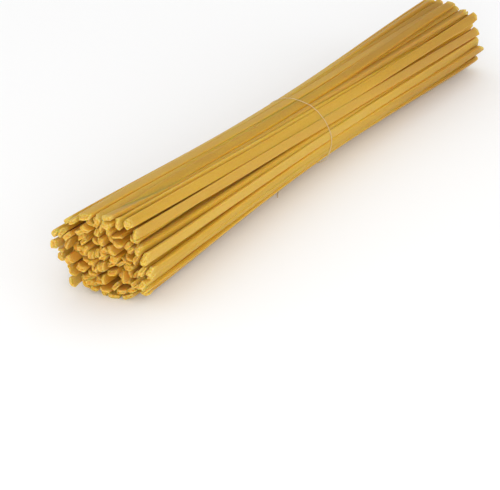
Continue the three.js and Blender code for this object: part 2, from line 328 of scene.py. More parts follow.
@dataclass(frozen=True)
class PastaFinish:
    """Dried durum wheat pasta: golden, faintly waxy, with semolina grain and paler cut ends.

    Pasta lets light through and tints it. The shade deep between the strands, with that tinted light, is
    painted into the colour as a burnt orange.
    """

    deep: Colour = (0.395, 0.208, 0.013)
    golden: Colour = (0.51, 0.297, 0.014)
    pale: Colour = (0.56, 0.355, 0.050)
    rosy: Colour = (0.53, 0.31, 0.068)
    cut_face: Colour = (0.60, 0.465, 0.115)
    floury: Colour = (0.70, 0.56, 0.27)
    speck: Colour = (0.32, 0.15, 0.013)
    # Painted shade: burnt orange deep between the strands and umber towards the cut ends, standing also for
    # light tinted by the pasta.
    painted_gap_shade: Colour = (0.87, 0.40, 0.013)
    painted_end_shade: Colour = (0.62, 0.25, 0.011)
    rosy_share: float = 0.5
    speck_share: float = 0.25
    bloom_share: float = 0.20
    cut_share: float = 0.9
    painted_shade_share: float = 0.85
    slow_scale: Pair = (0.35, 0.03)
    streak_scale: Pair = (2.6, 0.05)
    mottle_scale: float = 1300.0
    grain_scale: float = 3200.0
    speck_scale: float = 900.0
    speck_stretch: tuple[float, float, float] = (0.45, 1.0, 1.0)
    slow_weight: float = 0.5
    streak_weight: float = 0.5
    mottle_weight: float = 0.7
    tone_weight: float = 0.31
    speck_limits: Pair = (0.10, 0.24)
    bloom_limits: Pair = (0.56, 0.80)
    face_limits: Pair = (0.34, 0.56)
    glow: Colour = (1.0, 0.51, 0.10)
    glow_depth: float = 2.4 * MM
    glow_share: float = 0.9
    dust: float = 0.03
    dust_spread: float = 0.5
    detail: float = 3.0
    rough: float = 0.6
    grain_rough: float = 0.65
    gloss: float = 0.26
    roughness: float = 0.46
    streak_roughness: float = 0.10
    grain_roughness: float = 0.12
    cut_roughness: float = 0.2
    grain_relief: float = 0.45
    streak_relief: float = 0.3
    mottle_relief: float = 0.25
    relief: float = 0.09 * MM
    relief_strength: float = 0.55

    def material(self) -> bpy.types.Material:
        """The strands' material.

        The colour runs from deep to pale by the strand's own tone, made darker towards the slim end as
        painted shade, by slow noise along it and by fine streaks and grain. Some strands are rosier. Darker
        specks, a floury bloom and paler cut ends lie over that. Over all of it lies painted shade in the
        depths between the strands, burnt orange and towards the ends umber.

        Returns:
            The material.
        """
        tree = NodeTree("dry_pasta")
        cut = tree.attribute("cut")
        slow = tree.noise(tree.strand_place(self.slow_scale), 1.0, detail=self.detail)
        streak = tree.noise(tree.strand_place(self.streak_scale), 1.0, detail=self.detail, rough=self.rough)
        mottle = tree.noise(tree.place(), self.mottle_scale, rough=self.rough)
        grain = tree.noise(tree.place(), self.grain_scale, detail=self.detail, rough=self.grain_rough)
        specks = tree.cells(tree.place(self.speck_stretch), self.speck_scale)

        waver = (slow - 0.5) * self.slow_weight + (streak - 0.5) * self.streak_weight
        waver = waver + (mottle - 0.5) * self.mottle_weight
        # The tone attribute holds the strand's own tone, less a painted shade that darkens it towards the
        # slim end.
        tone_and_shade = tree.attribute("tone") * self.tone_weight + waver + 0.5
        low = tree.mix((tone_and_shade * 2.0).clamp(), self.deep, self.golden)
        body = tree.mix((tone_and_shade * 2.0 - 1.0).clamp(), low, self.pale)
        blushed = tree.mix(tree.attribute("rosy") * self.rosy_share, body, self.rosy)
        speckling = (1.0 - specks.between(self.speck_limits)) * self.speck_share
        speckled = tree.mix(speckling, blushed, self.speck)
        bloom = (grain.between(self.bloom_limits) + tree.attribute("flour")) * self.bloom_share
        dusted = tree.mix(bloom.clamp(), speckled, self.floury)
        face = tree.mix(mottle.between(self.face_limits), self.golden, self.cut_face)
        lit = tree.mix((cut * self.cut_share).clamp(), dusted, face)
        # Painted shade in the depths between the strands, mixed over the lit colour by the depth mask.
        shaded = tree.mix(tree.attribute("end"), self.painted_gap_shade, self.painted_end_shade)
        relief = grain * self.grain_relief + streak * self.streak_relief + mottle * self.mottle_relief
        return tree.surface(
            Base_Color=tree.mix(tree.attribute("depth") * self.painted_shade_share, lit, shaded),
            Roughness=(
                self.roughness
                + streak * self.streak_roughness
                + grain * self.grain_roughness
                + cut * self.cut_roughness
            ),
            Specular_IOR_Level=self.gloss,
            Subsurface_Weight=self.glow_share,
            Subsurface_Radius=self.glow,
            Subsurface_Scale=self.glow_depth,
            Sheen_Weight=self.dust,
            Sheen_Roughness=self.dust_spread,
            Normal=tree.bump(relief, self.relief, self.relief_strength),
        )


@dataclass(frozen=True)
class ThreadFinish:
    """Fine cotton thread, undyed, with the sheen of its twist."""

    light: Colour = (0.74, 0.58, 0.32)
    dark: Colour = (0.50, 0.37, 0.17)
    fibre_scale: Pair = (9.0, 1.6)
    fibre_limits: Pair = (0.3, 0.7)
    rough: float = 0.6
    roughness: float = 0.62
    fibre_roughness: float = 0.2
    gloss: float = 0.3
    sheen: float = 0.3
    relief: float = 0.03 * MM
    relief_strength: float = 0.5

    def material(self) -> bpy.types.Material:
        """The thread's material: fibres as fine noise along each ply.

        Returns:
            The material.
        """
        tree = NodeTree("cotton_thread")
        fibre = tree.noise(tree.strand_place(self.fibre_scale), 1.0, rough=self.rough)
        return tree.surface(
            Base_Color=tree.mix(fibre.between(self.fibre_limits), self.dark, self.light),
            Roughness=self.roughness + fibre * self.fibre_roughness,
            Specular_IOR_Level=self.gloss,
            Sheen_Weight=self.sheen,
            Normal=tree.bump(fibre, self.relief, self.relief_strength),
        )


@dataclass(frozen=True)
class FloorFinish:
    """A plain pale floor, with a barely uneven tone."""

    colour: Colour = (0.955, 0.955, 0.955)
    darker: float = 0.99
    mottle_scale: float = 3.0
    roughness: float = 0.8
    gloss: float = 0.1

    def material(self) -> bpy.types.Material:
        """The floor's material.

        Returns:
            The material.
        """
        tree = NodeTree("pale_floor")
        mottle = tree.noise(tree.place(), self.mottle_scale)
        darker = tuple(self.darker * part for part in self.colour)
        return tree.surface(
            Base_Color=tree.mix(mottle, darker, self.colour),
            Roughness=self.roughness,
            Specular_IOR_Level=self.gloss,
        )


# Shapes


def directions(angle: Array) -> Array:
    """The cosine and the sine of each angle, as pairs on a new last axis."""
    return np.stack([np.cos(angle), np.sin(angle)], -1)


def distances_along(line: Array) -> Array:
    """How far along a line each of its points lies."""
    return np.concatenate([[0], np.cumsum(np.linalg.norm(np.diff(line, axis=0), axis=1))])


def add_object(name: str, data: bpy.types.ID) -> bpy.types.Object:
    """Puts a mesh, a camera or a light into the scene, at the origin.

    Args:
        name: The object's name.
        data: What it shows.

    Returns:
        The object.
    """
    added = bpy.data.objects.new(name, data)
    bpy.context.scene.collection.objects.link(added)
    return added


@dataclass
class Mesh:
    """Vertices, faces and what each vertex carries, as arrays that are put together at the end."""

    points: Array
    quads: Array
    triangles: Array
    uv: Array
    values: dict[str, Array] = field(default_factory=dict)

    def build(self, name: str, material: bpy.types.Material) -> bpy.types.Object:
        """Puts the arrays into a mesh object at the origin.

        Args:
            name: The piece's name.
            material: Its material.

        Returns:
            The object, smoothly shaded.
        """
        data = bpy.data.meshes.new(name)
        corners = np.concatenate([self.quads.ravel(), self.triangles.ravel()]).astype(np.int32)
        sizes = np.repeat([4, 3], [len(self.quads), len(self.triangles)])
        starts = np.concatenate([[0], np.cumsum(sizes)[:-1]]).astype(np.int32)
        data.vertices.add(len(self.points))
        data.vertices.foreach_set("co", self.points.astype(np.float32).ravel())
        data.loops.add(len(corners))
        data.loops.foreach_set("vertex_index", corners)
        data.polygons.add(len(sizes))
        data.polygons.foreach_set("loop_start", starts)
        data.polygons.foreach_set("use_smooth", np.ones(len(sizes), bool))
        data.update(calc_edges=True)
        layer = data.uv_layers.new(name="strand")
        layer.data.foreach_set("uv", self.uv[corners].astype(np.float32).ravel())
        for key, numbers in self.values.items():
            attribute = data.attributes.new(key, "FLOAT", "POINT")
            attribute.data.foreach_set("value", numbers.astype(np.float32).ravel())
        data.materials.append(material)
        data.validate()
        return add_object(name, data)


def tube_faces(rows: int, rings: int, sides: int) -> tuple[Array, Array]:
    """The faces of several closed tubes of equal rings, each face facing out.

    A tube's points are its rings', in order, and then its two poles. The sides run anticlockwise as
    seen against the tube's direction.

    Args:
        rows: How many tubes there are.
        rings: Rings in each.
        sides: Points in each ring.

    Returns:
        The quads between the rings and the triangles round the poles.
    """
    tube = np.arange(rows)[:, None, None] * (rings * sides + 2)
    ring, side = np.arange(rings - 1)[:, None] * sides, np.arange(sides)
    first, second = tube + ring + side, tube + ring + (side + 1) % sides
    quads = np.stack([first, second, second + sides, first + sides], -1)
    pole = np.broadcast_to(tube + rings * sides, (rows, 1, sides))
    start = np.stack([second[:, :1], first[:, :1], pole], -1)
    end = np.stack([first[:, -1:] + sides, second[:, -1:] + sides, pole + 1], -1)
    return quads.reshape(-1, 4), np.concatenate([start, end]).reshape(-1, 3)


@dataclass
class BundleForm:
    """The sizes of the bundle and of its strands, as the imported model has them."""

    strand_count: int = 98
    strand_length: float = 255 * MM
    strand_width: float = 4.1 * MM
    strand_thickness: float = 1.92 * MM
    stagger: float = 2.6 * MM
    inner_stagger: float = 1.2 * MM
    tie_offset: float = 5.6 * MM
    skew: float = 5.8 * MM
    skew_direction: float = 0.7
    waist_radius: float = 15.8 * MM
    wide_end_radius: float = 21.8 * MM
    slim_end_radius: float = 19 * MM
    flare_power: float = 1.4
    twist: float = 0.17
    end_spread: float = 2.6 * MM
    gathering: float = 0.05
    inner_share: float = 0.5
    outer_turn: float = 0.35
    wide_end_height: float = 19.7 * MM
    slim_end_height: float = 17.5 * MM
    rest_depth: float = 0.22 * MM

    def share_out(self, x: Array) -> Array:
        """The share of the way from the waist to an end, from 0 to 1."""
        return np.minimum(1, np.abs(x) / (self.strand_length / 2))

    def radius(self, x: Array) -> Array:
        """The bundle's radius at x: it grows from the waist's by the flare power of the way out."""
        end = np.where(x < 0, self.wide_end_radius, self.slim_end_radius)
        return self.waist_radius + (end - self.waist_radius) * self.share_out(x) ** self.flare_power

    def axis_height(self, x: Array) -> Array:
        """The height of the bundle's axis at x above the table that it is pressed against."""
        climb = self.wide_end_height - self.slim_end_height
        return self.slim_end_height + climb * (0.5 - x / self.strand_length)


@dataclass
class Settling:
    """Lays the strands in the bundle by pushing them off each other, step by step."""

    form: BundleForm
    stations: int = 5
    steps: int = 400
    pulled_steps: int = 200
    push: float = 0.35
    turn: float = 0.4
    stiffness: float = 0.12
    end_pull: float = 0.02
    discs: int = 3
    listing_steps: int = 10
    listing_margin: float = 2 * MM

    def __post_init__(self) -> None:
        """Places the strands where they start, and settles them."""
        form = self.form
        half = form.strand_length / 2
        self.x = np.linspace(-half, half, self.stations)
        share = (np.arange(form.strand_count) + 0.5) / form.strand_count
        direction = np.arange(form.strand_count) * math.pi * (3 - math.sqrt(5))
        self.places, self.angles = self._start(share, direction)
        leaning = form.skew * np.sqrt(share) * np.cos(direction - form.skew_direction)
        stagger = np.where(share < form.inner_share, form.inner_stagger, form.stagger)
        self.shifts = stagger * jitter(form.strand_count, Draw.SHIFT) - leaning - form.tie_offset
        self._settle()

    def _start(self, share: Array, direction: Array) -> tuple[Array, Array]:
        """The first places and angles, on a sunflower spiral.

        Args:
            share: The share of the bundle's section inside each strand.
            direction: The direction of each strand from the axis.

        Returns:
            Places by strand, station and axis (across, up from the bundle's axis), and the angle
            that each strand is turned to about its length.
        """
        form = self.form
        out = form.share_out(self.x)
        spiral = share[:, None] ** (0.5 + form.gathering * out)
        reach = spiral * (form.radius(self.x) - form.strand_thickness / 2)
        turned = direction[:, None] + form.twist * np.sign(self.x) * out

        def wander(wide_end: Draw, slim_end: Draw) -> Array:
            """How far each strand strays from the spiral on one axis, at each station."""
            wide, slim = (jitter(form.strand_count, draw)[:, None] for draw in (wide_end, slim_end))
            return form.end_spread * out * np.where(self.x < 0, wide, slim)

        across = reach * np.cos(turned) + wander(Draw.WIDE_END_ACROSS, Draw.SLIM_END_ACROSS)
        up = reach * np.sin(turned) + wander(Draw.WIDE_END_UP, Draw.SLIM_END_UP)
        turn_range = np.where(share < form.inner_share, math.pi / 2, form.outer_turn)
        turns = turn_range * jitter(form.strand_count, Draw.TURN)
        return np.stack([across, up], -1), direction + math.pi / 2 + turns

    def _settle(self) -> None:
        """Takes the steps: pushes, turns, straightening and a pull that fades."""
        form = self.form
        ends = self.places[:, [0, -1]].copy()
        disc_radius = form.strand_thickness / 2
        arm = 2 * ((form.strand_width - form.strand_thickness) / 2) ** 2
        outline = (form.radius(self.x) - disc_radius)[:, None]
        table = (disc_radius - form.axis_height(self.x))[:, None]
        for step in range(self.steps):
            arms = self.arms()
            discs = self.places.transpose(1, 0, 2)[:, :, None, :] + arms
            discs = discs.reshape(self.stations, -1, 2)
            if step % self.listing_steps == 0:
                pairs = self._near_pairs(discs, 2 * disc_radius + self.listing_margin)
            pushes = self._push_apart(discs, 2 * disc_radius, pairs)
            distance = np.linalg.norm(discs, axis=-1)
            outside = np.maximum(0, distance - outline)
            pushes -= discs * (outside / distance)[..., None]
            pushes[..., 1] += np.maximum(0, table - discs[..., 1])
            pushes = pushes.reshape(self.stations, form.strand_count, self.discs, 2)
            self.places += self.push * pushes.sum(2).transpose(1, 0, 2)
            turning = (arms[..., 0] * pushes[..., 1] - arms[..., 1] * pushes[..., 0]).sum((0, 2))
            self.angles = self.angles + self.turn * turning / arm / self.stations
            middle = (self.places[:, :-2] + self.places[:, 2:]) / 2 - self.places[:, 1:-1]
            self.places[:, 1:-1] += self.stiffness * middle
            pull = self.end_pull * max(0.0, 1 - step / self.pulled_steps)
            self.places[:, [0, -1]] += pull * (ends - self.places[:, [0, -1]])

    def _near_pairs(self, discs: Array, reach: float) -> tuple[Array, Array]:
        """Lists the pairs of discs of different strands that are nearer than a reach.

        Args:
            discs: The discs' middles by station, disc and axis.
            reach: The distance.

        Returns:
            The two discs of each pair, numbered through all stations.
        """
        count = discs.shape[1]
        owner = np.arange(count) // self.discs
        apart = discs[:, :, None, :] - discs[:, None, :, :]
        near = ((apart**2).sum(-1) < reach**2) & (owner[:, None] < owner[None, :])
        station, first, second = np.nonzero(near)
        return station * count + first, station * count + second

    @staticmethod
    def _push_apart(discs: Array, reach: float, pairs: tuple[Array, Array]) -> Array:
        """Half the overlap of each disc with every disc of another strand, as a push away from it.

        Args:
            discs: The discs' middles by station, disc and axis.
            reach: Twice a disc's radius.
            pairs: The pairs of discs that may overlap.

        Returns:
            The push on each disc.
        """
        first, second = pairs
        flat = discs.reshape(-1, 2)
        apart = flat[first] - flat[second]
        distance = np.maximum(np.sqrt((apart**2).sum(-1)), TINY)
        push = apart * (0.5 * np.maximum(0, reach - distance) / distance)[:, None]
        sums = [
            np.bincount(first, push[:, axis], len(flat)) - np.bincount(second, push[:, axis], len(flat))
            for axis in range(2)
        ]
        return np.stack(sums, -1).reshape(discs.shape)

    def arms(self) -> Array:
        """The places of each strand's discs from its middle, by strand, disc and axis."""
        reach = (self.form.strand_width - self.form.strand_thickness) / 2
        return np.linspace(-reach, reach, self.discs)[:, None] * directions(self.angles)[:, None, :]

    def polynomials(self) -> Array:
        """The polynomial through each strand's stations, of the distance over half the length.

        Returns:
            The factor of each power, by strand, power and axis.
        """
        powers = np.arange(self.stations)
        fit = np.linalg.inv((self.x / (self.form.strand_length / 2))[:, None] ** powers)
        return np.einsum("ps,nsk->npk", fit, self.places)

    def line(self, along: Array) -> Array:
        """Points at distances from each strand's middle, across and above the bundle's axis."""
        at = (along / (self.form.strand_length / 2))[:, None] ** np.arange(self.stations)
        return np.einsum("ap,npk->nak", at, self.polynomials())


@dataclass
class CutEnds:
    """How the strands' cut ends are shaped: askew, rounded, pinched and uneven, each its own way."""

    slant: float = 0.20
    strong_slant: float = 0.95
    strong_power: int = 7
    bevel: float = 0.75
    corner_depth: float = 1.05 * MM
    corner_power: float = 2.6
    corner_spread: float = 0.5
    crown: float = 0.24 * MM
    crown_base: float = 0.4
    crown_spread: float = 1.3
    rounding: float = 0.48 * MM
    rounding_spread: float = 0.4
    pinch: float = 0.17
    flare: float = 0.15
    pinch_length: float = 2.6 * MM
    squeeze: float = 0.22
    chip: float = 1.1 * MM
    chip_power: int = 3
    chip_limits: Pair = (0.1, 0.5)
    lump: float = 0.12 * MM
    lump_waves: Pair = (3.1, 2.4)
    lump_turn: float = 3.0
    bulging: float = 0.13
    bulge_length: float = 3.5 * MM
    third_bulge: float = 0.8
    fade_length: float = 7.5 * MM
    first_series: int = 30

    def draw(self, count: int, cut: Cut, trait: Trait) -> Array:
        """One number between -1 and 1 for that end of each strand."""
        end = 0 if cut is Cut.WIDE_END else len(Trait)
        return series(count, self.first_series + end + trait.value)

    def setback(self, cut: Cut, across: Array, through: Array, width: Array, thick: Array) -> Array:
        """How far back each point of a cut end lies from the strand's full length.

        The corner depth times the place across to the corner power, plus the crown times the square
        of the place through, plus a plane that leans by the slant and the bevel, plus a chip off one
        corner and a low wave.

        Args:
            cut: Which end.
            across: Places across, from -1 to 1, by strand, ring and side.
            through: Places through, likewise.
            width: Half widths by strand.
            thick: Half thicknesses by strand.

        Returns:
            The setback, by strand, ring and side.
        """
        drawn = {trait: self.draw(len(width), cut, trait)[:, None, None] for trait in Trait}
        lean = drawn[Trait.SLANT]
        slope = self.slant * lean + self.strong_slant * lean**self.strong_power
        depth = self.corner_depth * (1 + self.corner_spread * drawn[Trait.CORNERS])
        corners = depth * np.abs(across) ** self.corner_power
        crown = self.crown * (self.crown_base + self.crown_spread * drawn[Trait.CROWN]) * through**2
        plane = slope * width[:, None, None] * across
        plane = plane + self.bevel * drawn[Trait.BEVEL] * thick[:, None, None] * through
        side = np.where(drawn[Trait.CHIP_SIDE] > 0, 1.0, -1.0)
        chipped = self.chip * np.maximum(0, drawn[Trait.CHIP]) ** self.chip_power
        chipped = chipped * smooth_step(side * across, *self.chip_limits)
        wave = np.sin(self.lump_waves[0] * across + self.lump_turn * drawn[Trait.LUMP_ACROSS])
        wave = wave * np.cos(self.lump_waves[1] * through + self.lump_turn * drawn[Trait.LUMP_THROUGH])
        return corners + crown + plane + chipped + self.lump * wave

    def section(self, cut: Cut, distance: Array, count: int) -> tuple[Array, Array, Array]:
        """How the section changes towards a cut end.

        The edge is rounded in by a quarter circle, and the section is pinched thinner and squeezed
        wider as the cutter leaves it, or at some ends the other way round.

        Args:
            cut: Which end.
            distance: Distances from the end, one for each ring.
            count: How many strands there are.

        Returns:
            The length to take off all round, and the factors of the width and of the thickness, by
            strand and ring.
        """
        spread = self.rounding_spread * self.draw(count, cut, Trait.ROUNDING)
        radius = self.rounding * (1 + spread)[:, None]
        rounded = radius * (1 - np.sqrt(1 - np.clip(1 - distance / radius, 0, 1) ** 2))
        amount = self.pinch * (self.draw(count, cut, Trait.PINCH) - self.flare)[:, None]
        amount = amount * (1 - smooth_step(distance, 0, self.pinch_length))
        return rounded, 1 + self.squeeze * amount, 1 - amount

    def bulge(self, cut: Cut, distance: Array, sides: int, count: int) -> Array:
        """The factor by which each side of a section stands out near a cut end.

        It is one plus two waves round the section, of two and three to the turn, which fade away
        from the end.

        Args:
            cut: Which end.
            distance: Distances from the end, one for each ring.
            sides: How many points the section has.
            count: How many strands there are.

        Returns:
            The factor by strand, ring and side.
        """
        angle = 2 * np.pi * np.arange(sides) / sides
        first = np.pi * self.draw(count, cut, Trait.LUMP_ACROSS)[:, None]
        second = np.pi * self.draw(count, cut, Trait.LUMP_THROUGH)[:, None]
        waves = np.sin(2 * angle + first) + self.third_bulge * np.sin(3 * angle + second)
        near = 1 - smooth_step(distance, 0, self.bulge_length)
        return 1 + self.bulging * waves[:, None, :] * near[None, :, None]

    def fade(self, distance: Array) -> Array:
        """The share of the setback that a ring at that distance from the end takes."""
        return 1 - smooth_step(distance, 0, self.fade_length)


@dataclass
class Shelter:
    """Measures how hemmed in places on the strands are by the strands round them, for the mask of the
    painted shade.
    """

    form: BundleForm
    settling: Settling
    neighbours: int = 12
    angles: tuple[float, ...] = (-0.9, 0.0, 0.9)
    reaches: tuple[float, ...] = (0.5 * MM, 1.4 * MM, 2.6 * MM)
    softness: float = 0.3 * MM
    limits: Pair = (0.25, 0.90)
    end_lead: float = 1.5 * MM

    def measure(self, tubes: Array, lead: float) -> Array:
        """How hemmed in each point of some rings is, from 0 in the open to 1.

        From each point, steps are taken away from its strand, straight out and to both sides. The
        share of them that end inside another strand is smoothed between two limits.

        Args:
            tubes: Points by strand, ring, side and axis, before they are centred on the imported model.
            lead: How far along x the rings are moved before they are looked at.

        Returns:
            The shelter by strand, ring and side.
        """
        form = self.form
        height = tubes[..., 2] - form.axis_height(tubes[..., 0]) + form.rest_depth
        places = np.stack([tubes[..., 1], height], -1)
        along_side = np.roll(places, -1, 2) - np.roll(places, 1, 2)
        away = np.stack([along_side[..., 1], -along_side[..., 0]], -1)
        away /= np.maximum(np.linalg.norm(away, axis=-1, keepdims=True), TINY)
        discs = self._discs(tubes[..., 0].mean(2) + lead, places.mean(2))
        filled = np.zeros(places.shape[:3])
        for angle in self.angles:
            cosine, sine = math.cos(angle), math.sin(angle)
            turned = away @ np.array([[cosine, sine], [-sine, cosine]])
            for reach in self.reaches:
                steps = (places + reach * turned)[:, :, :, None] - discs[:, :, None]
                over = np.sqrt((steps**2).sum(-1)).min(-1) - form.strand_thickness / 2
                filled += np.clip(1 - over / self.softness, 0, 1)
        return smooth_step(filled / (len(self.angles) * len(self.reaches)), *self.limits)

    def _discs(self, x: Array, middles: Array) -> Array:
        """The discs that stand for the strands round each ring.

        Args:
            x: Where each ring is looked at, by strand and ring.
            middles: The rings' middles, across and above the axis.

        Returns:
            The discs' middles by strand, ring, disc and axis. Those of strands that don't reach the
            ring lie far away.
        """
        form, settling = self.form, self.settling
        along = (x[..., None] - settling.shifts) / (form.strand_length / 2)
        powers = along[..., None] ** np.arange(settling.stations)
        centres = np.einsum("abjp,jpk->abjk", powers, settling.polynomials())
        apart = ((centres - middles[:, :, None]) ** 2).sum(-1)
        apart[np.abs(along) > 1] = np.inf
        each = np.arange(form.strand_count)
        apart[each, :, each] = np.inf
        nearest = np.argsort(apart, -1)[..., : self.neighbours]
        missing = np.isinf(np.take_along_axis(apart, nearest, -1))
        centres = np.take_along_axis(centres, nearest[..., None], 2) + missing[..., None]
        discs = centres[:, :, :, None] + settling.arms()[nearest]
        return discs.reshape(*x.shape, -1, 2)


@dataclass
class Strands:
    """All the strands of the bundle as one mesh, each with a flat oval section and cut ends."""

    form: BundleForm
    settling: Settling
    finish: PastaFinish
    ends: CutEnds = field(default_factory=CutEnds)
    sides: int = 18
    squareness: float = 5.4
    size_spread: float = 0.035
    size_wave: float = 0.018
    pressing: float = 0.03
    pressed_length: float = 90 * MM
    wave_length: float = 70 * MM
    warp: float = 0.10
    bow: float = 0.35 * MM
    middle_spacing: float = 11 * MM
    end_steps: tuple[float, ...] = (0.0, 0.05, 0.15, 0.30, 0.55, 1.0, 1.8, 3.0, 4.8, 7.5)
    cap_shares: tuple[float, ...] = (0.86, 0.62, 0.32)
    cut_length: float = 3.8 * MM
    # How far from the cut ends the painted shade turns from burnt orange to umber.
    end_shade_length: float = 30 * MM
    # Painted shade between the strands: where it rises under the bundle's outline, its share, and how it
    # fades near the ends.
    depth_limits: Pair = (2.4 * MM, 6.0 * MM)
    depth_share: float = 0.7
    end_fade: float = 0.65
    end_lead: float = 3.5 * MM
    # Painted shade on the cut ends: from the shelter round them, their depth, and darker in each end's
    # hollow.
    end_shelter: float = 0.35
    end_depth: float = 0.40
    hollow: float = 0.26
    hollow_start: float = 1.1
    flour_power: int = 3
    # Painted shade: the tone is made darker towards the slim end, where the light falls off.
    slim_end_painted_shade: float = 1.6
    slim_shade_limits: Pair = (10 * MM, 95 * MM)
    uv_step: Pair = (17.0, 53.0)
    node: str = "linguine_bundle"

    def _stations(self) -> Array:
        """Distances of the rings from a strand's middle, close together at its two ends.

        Returns:
            The distances, in order.
        """
        half = self.form.strand_length / 2
        steps = np.array(self.end_steps) * MM
        reach = half - steps[-1]
        count = int(round(2 * reach / self.middle_spacing))
        middle = np.linspace(-reach, reach, count + 1)
        return np.concatenate([steps - half, middle[1:-1], (half - steps)[::-1]])

    def _place(self, along: Array, shift: Array, side_u: Array, side_v: Array) -> Array:
        """Places points of the strands' sections in the bundle.

        A point lies on its strand's line at its own distance along it, plus its place across times
        the section's first direction, plus its place through times the second. Points below the
        table come up to it.

        Args:
            along: Distances of the rings from a strand's middle.
            shift: How far each point is moved along its strand, by strand, ring and side.
            side_u: Places across.
            side_v: Places through.

        Returns:
            Points by strand, ring, side and axis.
        """
        form, count = self.form, self.form.strand_count
        share = along / form.strand_length
        turned = self.settling.angles[:, None] + self.warp * jitter(count, Draw.WARP)[:, None] * share
        bow = self.bow * jitter(count, Draw.BOW)[:, None] * np.cos(np.pi * share)
        bow_side = directions(np.pi * jitter(count, Draw.BOW_SIDE))[:, None, :]
        line = self.settling.line(along) + bow[..., None] * bow_side
        flat_y, flat_z = np.cos(turned)[..., None], np.sin(turned)[..., None]
        x = along[None, :, None] + self.settling.shifts[:, None, None] + shift
        y = line[..., 0:1] + side_u * flat_y - side_v * flat_z
        z = line[..., 1:2] + side_u * flat_z + side_v * flat_y
        return np.stack([x, y, np.maximum(0, z + form.axis_height(x) - form.rest_depth)], -1)

    def mesh(self) -> Mesh:
        """Carries the section, a superellipse, along every line and closes its two ends.

        Returns:
            The strands' mesh, ready to build.
        """
        form, count = self.form, self.form.strand_count
        half = form.strand_length / 2
        along = self._stations()
        across, through = superellipse(self.sides, self.squareness, 0.5)
        phase = np.pi * jitter(count, Draw.WAVE)[:, None]
        wave = 1 + self.size_wave * np.sin(2 * np.pi * along / self.wave_length + phase)
        wave = wave + self.pressing * (1 - smooth_step(np.abs(along), 0, self.pressed_length))
        half_width = form.strand_width / 2 * (1 + self.size_spread * jitter(count, Draw.WIDTH))
        half_thick = form.strand_thickness / 2 * (1 + self.size_spread * jitter(count, Draw.THICKNESS))
        width, thick = half_width[:, None] * wave, half_thick[:, None] * wave

        shift = np.zeros((count, len(along), self.sides))
        bulge = np.ones_like(shift)
        for cut, distance in ((Cut.WIDE_END, along + half), (Cut.SLIM_END, half - along)):
            rounded, wider, thinner = self.ends.section(cut, distance, count)
            width, thick = (width - rounded) * wider, (thick - rounded) * thinner
            back = self.ends.setback(cut, across, through, half_width, half_thick)
            shift -= cut.value * back * self.ends.fade(distance)[None, :, None]
            bulge *= self.ends.bulge(cut, distance, self.sides, count)
        side_u, side_v = width[..., None] * across * bulge, thick[..., None] * through * bulge
        tubes = self._place(along, shift, side_u, side_v)

        caps = []
        shares = self._layers()[:, None]
        for cut, ring in zip(Cut, (0, -1)):
            back = self.ends.setback(cut, shares * across, shares * through, half_width, half_thick)
            inner_u, inner_v = shares * side_u[:, ring, None, :], shares * side_v[:, ring, None, :]
            at = np.full(shares.size, along[ring])
            caps.append(self._place(at, -cut.value * back, inner_u, inner_v))
        points = self._arrange(tubes, *caps)
        faces = tube_faces(count, len(along) + 2 * len(self.cap_shares), self.sides)

        u_step, v_step = (step * np.arange(count)[:, None, None] for step in self.uv_step)
        u = (side_u + side_v) / MM + u_step
        v = np.broadcast_to(along[None, :, None] / MM, u.shape) + v_step
        cap_uv = np.broadcast_to(u_step[..., None], (*caps[0].shape[:3], 2))
        uv = self._arrange(np.stack([u, v], -1), cap_uv, cap_uv)
        return Mesh(points, *faces, uv, self._values(points, tubes, along))

    def _layers(self) -> Array:
        """The size of each layer of a cap, from its rim to its pole, as a share of the rim's."""
        return np.array([*self.cap_shares, 0.0])

    @staticmethod
    def _arrange(tubes: Array, wide: Array, slim: Array) -> Array:
        """Puts what the tubes and the caps carry in the order of the mesh's points.

        Args:
            tubes: Numbers or points by strand, ring and side.
            wide: The same of the wide end's caps, by strand, layer and side.
            slim: The same of the slim end's caps.

        Returns:
            The numbers or points in one row.
        """
        rings = np.concatenate([wide[:, -2::-1], tubes, slim[:, :-1]], 1)
        rings = rings.reshape(len(rings), -1, *rings.shape[3:])
        joined = np.concatenate([rings, wide[:, -1, :1], slim[:, -1, :1]], 1)
        return joined.reshape(-1, *joined.shape[2:])

    def _painted_shade_mask(self, tubes: Array, end_distance: Array) -> Array:
        """How far every point lies inside the bundle, from 0 in the open to 1: the mask of the painted
        shade.

        On a strand it is the larger of the shelter there and the depth under the bundle's outline,
        and it fades towards the strand's ends. On a cut end it is the shelter all round the end, the
        end's depth, and how far the point lies in the end's own hollow.

        Args:
            tubes: The tubes' points by strand, ring, side and axis.
            end_distance: How far each ring is from its strand's nearer end.

        Returns:
            One number for each point of the mesh.
        """
        form = self.form
        x, y, z = np.moveaxis(tubes, -1, 0)
        height = z - form.axis_height(x) + form.rest_depth
        under = smooth_step(form.radius(x + form.tie_offset) - np.hypot(y, height), *self.depth_limits)
        shelter = Shelter(form, self.settling)
        inside = np.maximum(shelter.measure(tubes, 0.0), self.depth_share * under)
        inside *= 1 - self.end_fade * (1 - smooth_step(end_distance, 0, self.end_lead))[:, None]
        caps = []
        for cut, ring in zip(Cut, (0, -1)):
            # Painted shade on the cut ends, darker towards the middle of each end's hollow.
            around = shelter.measure(tubes[:, [ring]], cut.value * shelter.end_lead).mean((1, 2))
            around = self.end_shelter * around + self.end_depth * under[:, ring].mean(1)
            crown = self.ends.draw(form.strand_count, cut, Trait.CROWN)[:, None]
            pit = (1 - self._layers()) * np.maximum(0, crown + self.hollow_start)
            depth = np.clip(around[:, None] + self.hollow * pit, 0, 1)
            caps.append(np.repeat(depth[..., None], self.sides, -1))
        return self._arrange(inside, *caps)

